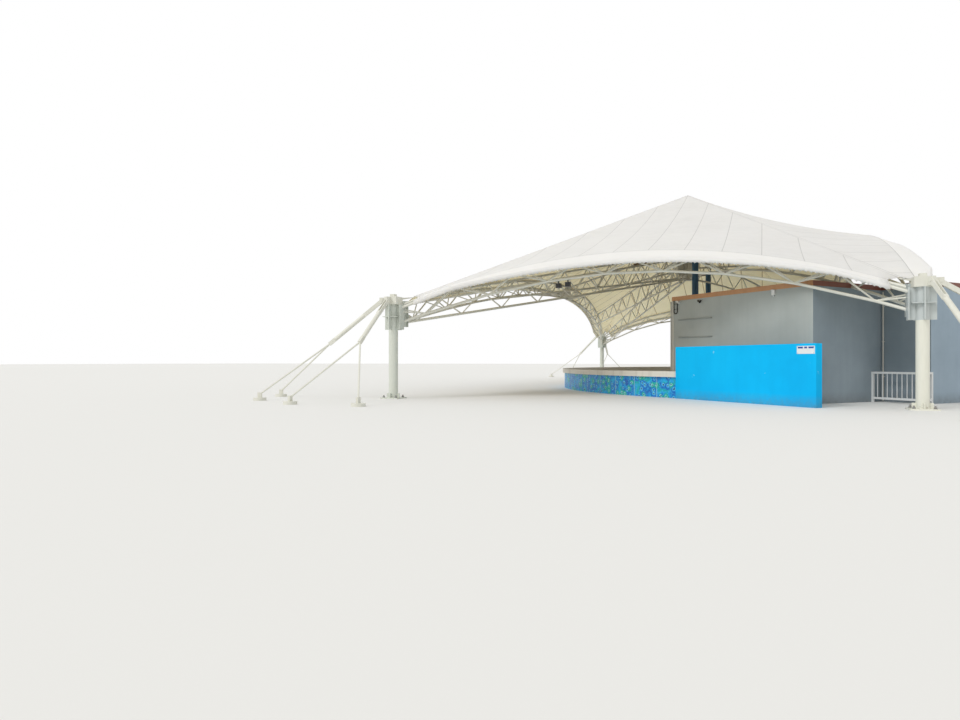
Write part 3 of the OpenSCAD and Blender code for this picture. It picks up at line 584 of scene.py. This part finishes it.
def block(size, place, turn, edge):
    """A block with rounded edges, its length along the wall that it turns with."""
    deselect()
    bpy.ops.mesh.primitive_cube_add(size=1, location=place, rotation=(0, 0, turn))
    bpy.context.active_object.scale = size
    bpy.ops.object.transform_apply(location=False, rotation=False, scale=True)
    rounded(edge)
    return bpy.context.active_object


def round_bar(radius, start, end, sides, edge):
    """A round bar between two points."""
    deselect()
    axis = Vector(end) - Vector(start)
    bpy.ops.mesh.primitive_cylinder_add(vertices=sides, radius=radius, depth=axis.length,
                                        location=(Vector(start) + Vector(end)) / 2,
                                        rotation=axis.to_track_quat("Z", "Y").to_euler())
    rounded(edge)
    return bpy.context.active_object


def joined(name, material, parts):
    """Several parts as one piece with one finish, its place in its mesh."""
    deselect()
    for part in parts:
        part.select_set(True)
    bpy.context.view_layer.objects.active = parts[0]
    if len(parts) > 1:
        bpy.ops.object.join()
    bpy.ops.object.transform_apply(location=True, rotation=True, scale=True)
    piece = bpy.context.active_object
    piece.name = name
    piece.data.name = name
    piece.data.materials.clear()
    piece.data.materials.append(material)
    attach(piece, "root")
    return piece


def bent_tube(name, points, radius):
    """A tube through points, with its ends closed."""
    curve = bpy.data.curves.new(name, "CURVE")
    curve.dimensions = "3D"
    curve.bevel_depth = radius
    curve.bevel_resolution = 1
    curve.use_fill_caps = True
    spline = curve.splines.new("POLY")
    spline.points.add(len(points) - 1)
    for place, point in zip(spline.points, points):
        place.co = (*point, 1)
    piece = bpy.data.objects.new(name, curve)
    bpy.context.scene.collection.objects.link(piece)
    activate(piece)
    bpy.ops.object.convert(target="MESH")
    return bpy.context.active_object


def copied(parts, offset):
    """Copies of parts, moved by an offset, each with its own mesh."""
    made = []
    for part in parts:
        twin = part.copy()
        twin.data = part.data.copy()
        twin.location = part.location + offset
        bpy.context.scene.collection.objects.link(twin)
        made.append(twin)
    return made


class BANDSTAND_OT_lacing(bpy.types.Operator):
    """Laces the edges of the canopy round the outer chords, with an eyelet at every lace"""

    bl_idname = "bandstand.lacing"
    bl_label = "Lacing"

    def execute(self, context):
        canopy = context.scene.bandstand_canopy
        rope = painted_steel("pale_lacing_rope", "#D9D7CE", "#A7A498", 0.8)
        zinc = painted_steel("zinc_eyelets", "#8E8F8C", "#5F605E", 0.4)
        for arch in ARCHES:
            a, b = arch_frame(arch)[:2]
            bays = ARCHES[arch][4]
            count = lace_count(arch, canopy)
            cut = CORNER_CUT / (b - a).length
            laces = bmesh.new()
            eyelets = bmesh.new()
            for k in range(count + 1):
                s = k / count
                if not cut < s < 1 - cut:
                    continue
                first = min(bays - 1, int(s * bays))
                start = chord_points(arch, first / bays)[2]
                end = chord_points(arch, (first + 1) / bays)[2]
                chord = start.lerp(end, s * bays - first)
                inward = arch_frame(arch)[2]
                hole = canopy_edge(arch, s, canopy) + UP * HOLE_LIFT
                direction = (end - start).normalized()
                out = (-inward - direction * (-inward).dot(direction)).normalized()
                up = direction.cross(out)
                if up.z < 0:
                    up = -up
                ring = [hole - inward * 0.004, hole + inward * 0.004]
                for angle in (-100, -150, 160, 110, 60, 10, -40):
                    turn = math.radians(angle)
                    ring.append(chord + (out * math.cos(turn) + up * math.sin(turn)) * WRAP_R)
                self.rope_ring(laces, ring, direction, canopy.lace_radius)
                self.eyelet(eyelets, hole, -inward, canopy.thickness)
            for name, shape, material in (("laces_" + arch, laces, rope),
                                          ("eyelets_" + arch, eyelets, zinc)):
                mesh = bpy.data.meshes.new(name)
                bmesh.ops.recalc_face_normals(shape, faces=shape.faces)
                shape.to_mesh(mesh)
                shape.free()
                mesh.materials.append(material)
                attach(link(name, mesh), "root")
        return {"FINISHED"}

    def rope_ring(self, shape, ring, axis, radius):
        """One closed loop of rope through a ring of points that lie across an axis."""
        middle = sum(ring, Vector()) / len(ring)
        rows = []
        for point in ring:
            side = (point - middle).normalized()
            rows.append([shape.verts.new(point + side * radius), shape.verts.new(point + axis * radius),
                         shape.verts.new(point - side * radius), shape.verts.new(point - axis * radius)])
        for first, second in zip(rows, rows[1:] + rows[:1]):
            for j in range(4):
                shape.faces.new((first[j], first[(j + 1) % 4], second[(j + 1) % 4], second[j]))

    def eyelet(self, shape, place, out, thickness):
        """A flat ring pressed round a lace hole."""
        side = out.cross(UP).normalized()
        half = thickness / 2 + 0.0008
        rows = []
        for i in range(8):
            turn = i * math.pi / 4
            spoke = side * math.cos(turn) + UP * math.sin(turn)
            section = ((0.0042, -half), (0.0042, half), (0.0082, half), (0.0082, -half))
            rows.append([shape.verts.new(place + spoke * radius + out * depth) for radius, depth in section])
        for first, second in zip(rows, rows[1:] + rows[:1]):
            for j in range(4):
                shape.faces.new((first[j], first[(j + 1) % 4], second[(j + 1) % 4], second[j]))


class BANDSTAND_OT_anchors(bpy.types.Operator):
    """Bolts down the masts and the columns"""

    bl_idname = "bandstand.anchors"
    bl_label = "Anchor bolts"

    def bolt(self, place, size):
        """A threaded stud with a washer and a hexagonal nut, stood on a place."""
        place = Vector(place)
        washer = round_bar(size * 1.05, place, place + UP * size * 0.16, 24, size * 0.03)
        nut = round_bar(size * 0.86, place + UP * size * 0.16, place + UP * size * 0.96, 6, size * 0.08)
        stud = round_bar(size * 0.48, place, place + UP * size * 1.7, 16, size * 0.07)
        return [washer, nut, stud]

    def execute(self, context):
        zinc = painted_steel("zinc_plated_steel", "#9A9C9B", "#6B5A4A", 0.4)
        first = self.bolt((0, 0, 0), 0.03)
        for corner in (FRONT_NEAR, REAR_NEAR, REAR_FAR, FRONT_FAR):
            parts = []
            for x, y in ((-0.15, -0.15), (0.15, -0.15), (0.15, 0.15), (-0.15, 0.15)):
                parts += copied(first, mast_axis(corner) + Vector((x, y, 0.025)))
            joined("anchor_bolts_" + corner, zinc, parts)
        small = self.bolt((0, 0, 0), 0.018)
        for column in ("column_near", "column_far"):
            low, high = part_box(column)
            middle = (low + high) / 2
            middle.z = low.z + BASE_T
            parts = []
            for i in range(6):
                turn = math.radians(30 + 60 * i)
                parts += copied(small, middle + Vector((math.cos(turn), math.sin(turn), 0)) * 0.123)
            joined("base_bolts_" + column, zinc, parts)
        for part in first + small:
            bpy.data.objects.remove(part)
        return {"FINISHED"}


class BANDSTAND_OT_wall_fittings(bpy.types.Operator):
    """Fits the lamp, the two cameras, the cable, the ledges and the trims to the near walls"""

    bl_idname = "bandstand.wall_fittings"
    bl_label = "Wall fittings"

    def on_wall(self, along, z, off):
        """A place off the near side wall, along metres from its outer corner."""
        return SIDE_CORNER + WALL_DIR * along - ACROSS * off + UP * z

    def execute(self, context):
        turn = math.atan2(-WALL_DIR.y, -WALL_DIR.x)
        white = painted_steel("white_moulded_plastic", "#E9E9E6", "#C9C8C2", 0.4)
        black = painted_steel("black_moulded_plastic", "#1C1C1E", "#101012", 0.5)
        sheath = painted_steel("black_cable_sheath", "#232325", "#141416", 0.6)
        wall_paint = rendered_wall("light_grey_trim", "#9DA19E", "#A8ACA8", "#8F9391")
        # Pale paint for the conduit, also used on the corner trim, where its paleness is painted light.
        pale = painted_steel("pale_trim_and_painted_corner_light", "#CFCDC4", "#B5B3AA", 0.6)
        body = block((0.064, 0.05, 0.1), self.on_wall(0.86, 2.165, 0.028), turn, 0.008)
        hood = block((0.07, 0.062, 0.012), self.on_wall(0.86, 2.219, 0.034), turn, 0.004)
        stem = round_bar(0.008, self.on_wall(0.86, 2.11, 0.02), self.on_wall(0.86, 2.085, 0.02), 16, 0.002)
        joined("wall_lamp", white, [body, hood, stem])
        for label, along, z, material in (("inner", 3.47, 2.2, white), ("outer", 2.81, 2.165, black)):
            foot = round_bar(0.02, self.on_wall(along, z, 0.0), self.on_wall(along, z, 0.012), 24, 0.002)
            arm = round_bar(0.007, self.on_wall(along, z, 0.01), self.on_wall(along, z - 0.012, 0.06),
                            16, 0.001)
            start = self.on_wall(along + 0.04, z + 0.008, 0.055)
            end = self.on_wall(along - 0.055, z - 0.035, 0.095)
            barrel = round_bar(0.02, start, end, 32, 0.003)
            ahead = (end - start) * 0.12
            hood = round_bar(0.0235, start + ahead, end + ahead, 32, 0.001)
            joined("camera_" + label, material, [foot, arm, barrel, hood])
        loop = []
        for i in range(13):
            angle = math.pi * i / 12
            loop.append(self.on_wall(3.59 + 0.055 * math.cos(angle), 1.975 - 0.055 * math.sin(angle), 0.02))
        loop = [self.on_wall(3.645, 2.23, 0.02)] + loop + [self.on_wall(3.535, 2.225, 0.02)]
        parts = [bent_tube("cable_loop", loop, 0.011)]
        for z in (2.15, 2.03):
            parts.append(block((0.14, 0.012, 0.01), self.on_wall(3.59, z, 0.006), turn, 0.002))
        joined("cable_loop", sheath, parts)
        for label, z in (("upper", 1.765), ("lower", 1.357)):
            rail = block((1.02, 0.03, 0.008), self.on_wall(2.99, z, 0.014), turn, 0.002)
            lip = block((1.02, 0.006, 0.016), self.on_wall(2.99, z + 0.008, 0.026), turn, 0.002)
            joined("wall_ledge_" + label, wall_paint, [rail, lip])
        # Painted light: the corner trim is pale to stand for light on the wall's corner, which lies in shade
        # here.
        parts = [block((0.07, 0.008, 1.62), self.on_wall(3.7, 1.4, 0.004), turn, 0.002),
                 block((0.008, 0.05, 1.62), self.on_wall(3.732, 1.4, 0.02), turn, 0.002)]
        joined("corner_trim", pale, parts)
        nook = SIDE_CORNER + ACROSS * 2.05
        top = nook - WALL_DIR * 0.05 - ACROSS * 0.024 + UP * 2.19
        foot = Vector((top.x, top.y, 0.02))
        parts = [round_bar(0.013, foot, top, 16, 0.002)]
        for z in (0.5, 1.2, 1.9):
            parts.append(block((0.05, 0.03, 0.012), Vector((top.x, top.y, z)) + ACROSS * 0.008, turn, 0.002))
        joined("wall_conduit", pale, parts)
        return {"FINISHED"}


class BANDSTAND_OT_plate(bpy.types.Operator):
    """Screws a bare enamelled plate to the near low wall"""

    bl_idname = "bandstand.plate"
    bl_label = "Plate"

    def on_low_wall(self, along, z, off):
        """A place off the outer face of the near low wall, along metres from the stage."""
        return STAGE_CORNER - WALL_DIR * along - ACROSS * off + UP * z

    def execute(self, context):
        turn = math.atan2(-WALL_DIR.y, -WALL_DIR.x)
        enamel = painted_steel("white_enamel", "#E7EAEC", "#CFD3D6", 0.3)
        blue = painted_steel("blue_enamel", "#22459B", "#1A3782", 0.3)
        zinc = painted_steel("zinc_plated_screws", "#9FA1A0", "#77777A", 0.35)
        sheet = block((0.354, 0.005, 0.139), self.on_low_wall(3.19, 1.004, 0.003), turn, 0.001)
        joined("wall_plate", enamel, [sheet])
        bars = []
        for along, z, length in ((3.085, 1.045, 0.1), (3.19, 1.045, 0.055), (3.295, 1.045, 0.1)):
            bars.append(block((length, 0.002, 0.03), self.on_low_wall(along, z, 0.006), turn, 0.0005))
        joined("wall_plate_bars", blue, bars)
        screws = []
        for along in (3.03, 3.35):
            for z in (0.95, 1.062):
                place = self.on_low_wall(along, z, 0.0055)
                screws.append(round_bar(0.006, place, place - ACROSS * 0.003, 16, 0.001))
        joined("wall_plate_screws", zinc, screws)
        return {"FINISHED"}


# The finish of each CAD node, by the start of its name
FINISHES = (
    # The second colour of each mast is painted shade on its fin plates: bluish grey on the rear masts, hardly
    # darker on the front ones.
    (("mast_rear",), lambda: mast_paint("mast_paint_rear", "#ECECE0", "#C8D0D1")),
    (("mast_front",), lambda: mast_paint("mast_paint_front", "#D8DDD4", "#D0D6CF")),
    (("column_ties",), lambda: painted_steel("brown_painted_steel", "#6B4A33", "#4C3424")),
    (("column_near", "column_far"), lambda: painted_steel("navy_painted_steel", "#2C5B7E", "#1D3B55")),
    (("flood_lights",), lambda: painted_steel("black_enamelled_steel", "#1B1B1D", "#0E0E10", 0.35)),
    (("stage_floor",), lambda: trowelled_concrete("trowelled_concrete")),
    (("stage_front",), lambda: mosaic_tile("glazed_mosaic")),
    (("low_wall",), lambda: rendered_wall("azure_render", "#00BCF8", "#06C2FB", "#00B0EE", 0.012, "#8FDCF6")),
    (("side_wall", "wing_wall", "back_wall"),
     lambda: rendered_wall("light_grey_render", "#AFB4B0", "#B7BCB8", "#A5AAA6")),
    (("end_wall", "recess_wall"),
     lambda: rendered_wall("slate_grey_render", "#8C99A2", "#95A2AB", "#828F98")),
    (("outer_wall", "rear_wall"),
     lambda: rendered_wall("blue_grey_render", "#9DAEBC", "#A6B6C4", "#93A4B2")),
    (("roof_slab",), lambda: rendered_wall("roofing_felt", "#5B5B59", "#676764", "#4B4B49", 0.006)),
    (("fascia",), lambda: painted_steel("orange_brown_flashing", "#C6936A", "#A4744E", 0.5)),
    (("coping",), lambda: painted_steel("red_brown_flashing", "#7E4A3A", "#5F352A", 0.5)),
    (("nook_fences",), lambda: painted_steel("white_painted_steel", "#E4E6E6", "#C7C9C8")),
)


class BANDSTAND_OT_finishes(bpy.types.Operator):
    """Gives every CAD piece its finish"""

    bl_idname = "bandstand.finishes"
    bl_label = "Finishes"

    def execute(self, context):
        cream = painted_steel("cream_painted_steel", "#E4E4DA", "#BFBDAE")
        made = [(starts, make()) for starts, make in FINISHES]
        for name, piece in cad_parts.items():
            material = next((m for starts, m in made if name.startswith(starts)), cream)
            piece.data.materials.clear()
            piece.data.materials.append(material)
        return {"FINISHED"}


class BANDSTAND_OT_stage(bpy.types.Operator):
    """Sets the pale floor, the camera and the lamps"""

    bl_idname = "bandstand.stage"
    bl_label = "Floor, camera and lamps"

    def execute(self, context):
        view = context.scene.bandstand_stage
        camera = bpy.data.objects.new("camera", bpy.data.cameras.new("camera"))
        context.scene.collection.objects.link(camera)
        camera.location = view.camera_place
        camera.rotation_euler = (math.radians(90), 0, view.camera_turn)
        camera.data.lens = view.lens
        camera.data.sensor_width = 36
        camera.data.shift_y = view.shift
        camera.data.clip_end = 500
        context.scene.camera = camera
        bpy.ops.mesh.primitive_plane_add(size=400)
        floor = context.active_object
        floor.name = "floor"
        material, _, shader, _ = surface("pale_floor", 0.9)
        shader.inputs["Base Color"].default_value = srgb("#E6E6E4")
        floor.data.materials.append(material)
        context.scene.view_settings.view_transform = "Standard"
        world = bpy.data.worlds.new("soft_sky")
        context.scene.world = world
        world.use_nodes = True
        tree = world.node_tree
        background = tree.nodes["Background"]
        background.inputs["Color"].default_value = srgb("#F5F4F1")
        background.inputs["Strength"].default_value = 0.92
        white = add(tree, "ShaderNodeBackground", Color=srgb("#FFFFFF"), Strength=1.0)
        path = add(tree, "ShaderNodeLightPath")
        seen = maths(tree, "MAXIMUM", path.outputs["Is Camera Ray"], path.outputs["Is Glossy Ray"])
        shader_mix = add(tree, "ShaderNodeMixShader", i0=seen, i1=background.outputs[0], i2=white.outputs[0])
        tree.links.new(shader_mix.outputs[0], tree.nodes["World Output"].inputs["Surface"])
        sun = bpy.data.objects.new("sun", bpy.data.lights.new("sun", "SUN"))
        sun.data.energy = 1.0
        sun.data.angle = math.radians(20)
        sun.rotation_euler = (math.radians(50), math.radians(-4), math.radians(-28))
        context.scene.collection.objects.link(sun)
        return {"FINISHED"}


class BANDSTAND_PT_panel(bpy.types.Panel):
    """Lists the steps that build the bandstand"""

    bl_idname = "BANDSTAND_PT_panel"
    bl_label = "Bandstand"
    bl_space_type = "VIEW_3D"
    bl_region_type = "UI"
    bl_category = "Bandstand"

    def draw(self, context):
        for operator in OPERATORS:
            self.layout.operator(operator.bl_idname)


OPERATORS = (BANDSTAND_OT_stage, BANDSTAND_OT_finishes, BANDSTAND_OT_canopy, BANDSTAND_OT_lacing,
             BANDSTAND_OT_anchors, BANDSTAND_OT_wall_fittings, BANDSTAND_OT_plate)
CLASSES = (BandstandCanopy, BandstandStage, *OPERATORS, BANDSTAND_PT_panel)


def register():
    for cls in CLASSES:
        bpy.utils.register_class(cls)
    bpy.types.Scene.bandstand_canopy = PointerProperty(type=BandstandCanopy)
    bpy.types.Scene.bandstand_stage = PointerProperty(type=BandstandStage)


def unregister():
    del bpy.types.Scene.bandstand_canopy
    del bpy.types.Scene.bandstand_stage
    for cls in reversed(CLASSES):
        bpy.utils.unregister_class(cls)


def main():
    register()
    for operator in OPERATORS:
        group, name = operator.bl_idname.split(".")
        getattr(getattr(bpy.ops, group), name)()


if __name__ == "__main__":
    main()
